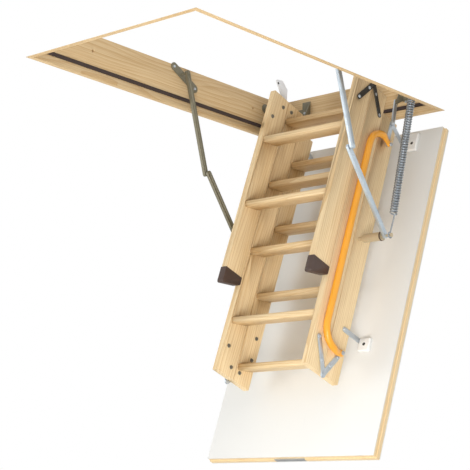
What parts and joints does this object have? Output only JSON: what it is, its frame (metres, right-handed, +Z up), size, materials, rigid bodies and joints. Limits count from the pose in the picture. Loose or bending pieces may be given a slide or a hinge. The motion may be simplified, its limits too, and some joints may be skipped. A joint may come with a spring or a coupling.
{
  "type": "folding attic ladder",
  "caption": "Wooden folding attic ladder in a ceiling frame: a hinged hatch on spring-balanced arms carries folded ladder sections with a handrail and feet.",
  "frame": {"origin": "centre of the outer face of the frame board at the hinge end, at mid-height of the frame", "axes": "+X across the ladder to the handrail side, +Y out of the hinge end, +Z up"},
  "size_m": [0.7, 1.2538, 1.3036],
  "materials": {
    "frame_pine": "planed pine, unpainted",
    "stringer_pine": "planed pine, clear",
    "tread_pine": "planed pine, clear",
    "hatch_pine": "sawn pine edge strip",
    "hatch_white": "white lacquered board",
    "insulation_foam": "polystyrene board",
    "gasket_rubber": "dark brown seal",
    "foot_rubber": "dark brown plastic foot",
    "zinc_steel": "zinc plated pressed steel",
    "arm_zinc": "galvanised channel",
    "black_steel": "black strap, worn edges",
    "spring_steel": "oiled spring wire",
    "rail_orange": "orange powder coat",
    "white_plastic": "moulded plastic block",
    "lock_steel": "plated lock steel"
  },
  "bodies": {
    "frame": {"arm_bracket_left": "zinc_steel", "arm_bracket_right": "zinc_steel", "frame_board_free_end": "frame_pine", "frame_board_hinge_end": "frame_pine", "frame_board_left": "frame_pine", "frame_board_right": "frame_pine", "frame_gasket": "gasket_rubber", "hinge_plate_left": "zinc_steel", "hinge_plate_right": "zinc_steel", "lock_striker": "lock_steel"},
    "hatch": {"handrail": "rail_orange", "hatch_edge_frame": "hatch_pine", "hatch_insulation": "insulation_foam", "hatch_skin_attic": "hatch_white", "hatch_skin_room": "hatch_white", "hinge_bracket_left": "zinc_steel", "hinge_bracket_right": "zinc_steel", "lock_case": "lock_steel", "spreader_tube_left": "zinc_steel", "spreader_tube_right": "zinc_steel", "stay_block": "white_plastic", "stay": "zinc_steel", "upper_section_leaf_left": "zinc_steel", "upper_section_leaf_right": "zinc_steel", "upper_section_stringer_left": "stringer_pine", "upper_section_stringer_right": "stringer_pine", "upper_section_tread_1": "tread_pine", "upper_section_tread_2": "tread_pine", "upper_section_tread_3": "tread_pine", "upper_section_tread_4": "tread_pine"},
    "lock_bolt": {"lock_bolt": "lock_steel"},
    "lock_key": {"lock_key": "lock_steel"},
    "middle_section": {"middle_section_lower_leaf_left": "zinc_steel", "middle_section_lower_leaf_right": "zinc_steel", "middle_section_stringer_left": "stringer_pine", "middle_section_stringer_right": "stringer_pine", "middle_section_tread_1": "tread_pine", "middle_section_tread_2": "tread_pine", "middle_section_tread_3": "tread_pine", "middle_section_tread_4": "tread_pine", "middle_section_upper_leaf_left": "black_steel", "middle_section_upper_leaf_right": "black_steel"},
    "lower_section": {"foot_left": "foot_rubber", "foot_right": "foot_rubber", "lower_section_leaf_left": "black_steel", "lower_section_leaf_right": "black_steel", "lower_section_stringer_left": "stringer_pine", "lower_section_stringer_right": "stringer_pine", "lower_section_tread_1": "tread_pine", "lower_section_tread_2": "tread_pine"},
    "hinge_link_left": {"hinge_link_left": "zinc_steel"},
    "upper_arm_left": {"upper_arm_left": "arm_zinc"},
    "lower_arm_left": {"lower_arm_left": "arm_zinc"},
    "balance_spring_left": {"balance_spring_left": "spring_steel"},
    "hinge_link_right": {"hinge_link_right": "zinc_steel"},
    "upper_arm_right": {"upper_arm_right": "arm_zinc"},
    "lower_arm_right": {"lower_arm_right": "arm_zinc"},
    "balance_spring_right": {"balance_spring_right": "spring_steel"}
  },
  "joints": [
    {"name": "hatch_swing", "type": "hinge", "parent": "frame", "child": "hatch", "pos_m": [0, 0.05201, -0.04156], "axis": [1, 0, 0], "range_deg": [-71, 0]},
    {"name": "middle_section_unfold", "type": "hinge", "parent": "hatch", "child": "middle_section", "pos_m": [0, -0.42176, -0.96885], "axis": [1, 0, 0], "range_deg": [0, 180]},
    {"name": "lower_section_unfold", "type": "hinge", "parent": "middle_section", "child": "lower_section", "pos_m": [0, -0.1705, 0.00966], "axis": [-1, 0, 0], "range_deg": [0, 180]},
    {"name": "lock_bolt_slide", "type": "slide", "parent": "hatch", "child": "lock_bolt", "axis": [0, -0.3256, -0.9455], "range_m": [0, 0.01]},
    {"name": "lock_key_turn", "type": "hinge", "parent": "hatch", "child": "lock_key", "pos_m": [0, -0.3157, -1.1968], "axis": [0, -0.9455, 0.3256], "range_deg": [0, 90]},
    {"name": "hinge_link_left_swing", "type": "hinge", "parent": "frame", "child": "hinge_link_left", "pos_m": [-0.1918, -0.05489, -0.02616], "axis": [1, 0, 0], "range_deg": [-173.93, 0.5]},
    {"name": "hinge_link_right_swing", "type": "hinge", "parent": "frame", "child": "hinge_link_right", "pos_m": [0.1918, -0.05489, -0.02616], "axis": [1, 0, 0], "range_deg": [-173.93, 0.5]},
    {"name": "upper_arm_left_swing", "type": "hinge", "parent": "frame", "child": "upper_arm_left", "pos_m": [-0.298, -0.54, 0.044], "axis": [1, 0, 0], "range_deg": [-0.5, 66.53]},
    {"name": "upper_arm_right_swing", "type": "hinge", "parent": "frame", "child": "upper_arm_right", "pos_m": [0.298, -0.54, 0.044], "axis": [1, 0, 0], "range_deg": [-0.5, 66.53]},
    {"name": "lower_arm_left_swing", "type": "hinge", "parent": "hatch", "child": "lower_arm_left", "pos_m": [-0.284, -0.24486, -0.52421], "axis": [1, 0, 0], "range_deg": [-71.11, 0.5]},
    {"name": "lower_arm_right_swing", "type": "hinge", "parent": "hatch", "child": "lower_arm_right", "pos_m": [0.284, -0.24486, -0.52421], "axis": [1, 0, 0], "range_deg": [-71.11, 0.5]},
    {"name": "balance_spring_left_swing", "type": "hinge", "parent": "frame", "child": "balance_spring_left", "pos_m": [-0.308, -0.107, 0.03], "axis": [1, 0, 0], "range_deg": [-84.05, 0.5], "deforming": ["balance_spring_left"]},
    {"name": "balance_spring_right_swing", "type": "hinge", "parent": "frame", "child": "balance_spring_right", "pos_m": [0.308, -0.107, 0.03], "axis": [1, 0, 0], "range_deg": [-84.05, 0.5], "deforming": ["balance_spring_right"]}
  ],
  "couplings": [
    {"joint": "hinge_link_left_swing", "follows": "hatch_swing", "ratio": 2.4426},
    {"joint": "hinge_link_right_swing", "follows": "hatch_swing", "ratio": 2.4426},
    {"joint": "upper_arm_left_swing", "follows": "hatch_swing", "ratio": -0.93},
    {"joint": "upper_arm_right_swing", "follows": "hatch_swing", "ratio": -0.93},
    {"joint": "lower_arm_left_swing", "follows": "hatch_swing", "ratio": 0.99449},
    {"joint": "lower_arm_right_swing", "follows": "hatch_swing", "ratio": 0.99449},
    {"joint": "balance_spring_left_swing", "follows": "hatch_swing", "ratio": 1.1767},
    {"joint": "balance_spring_right_swing", "follows": "hatch_swing", "ratio": 1.1767}
  ]
}
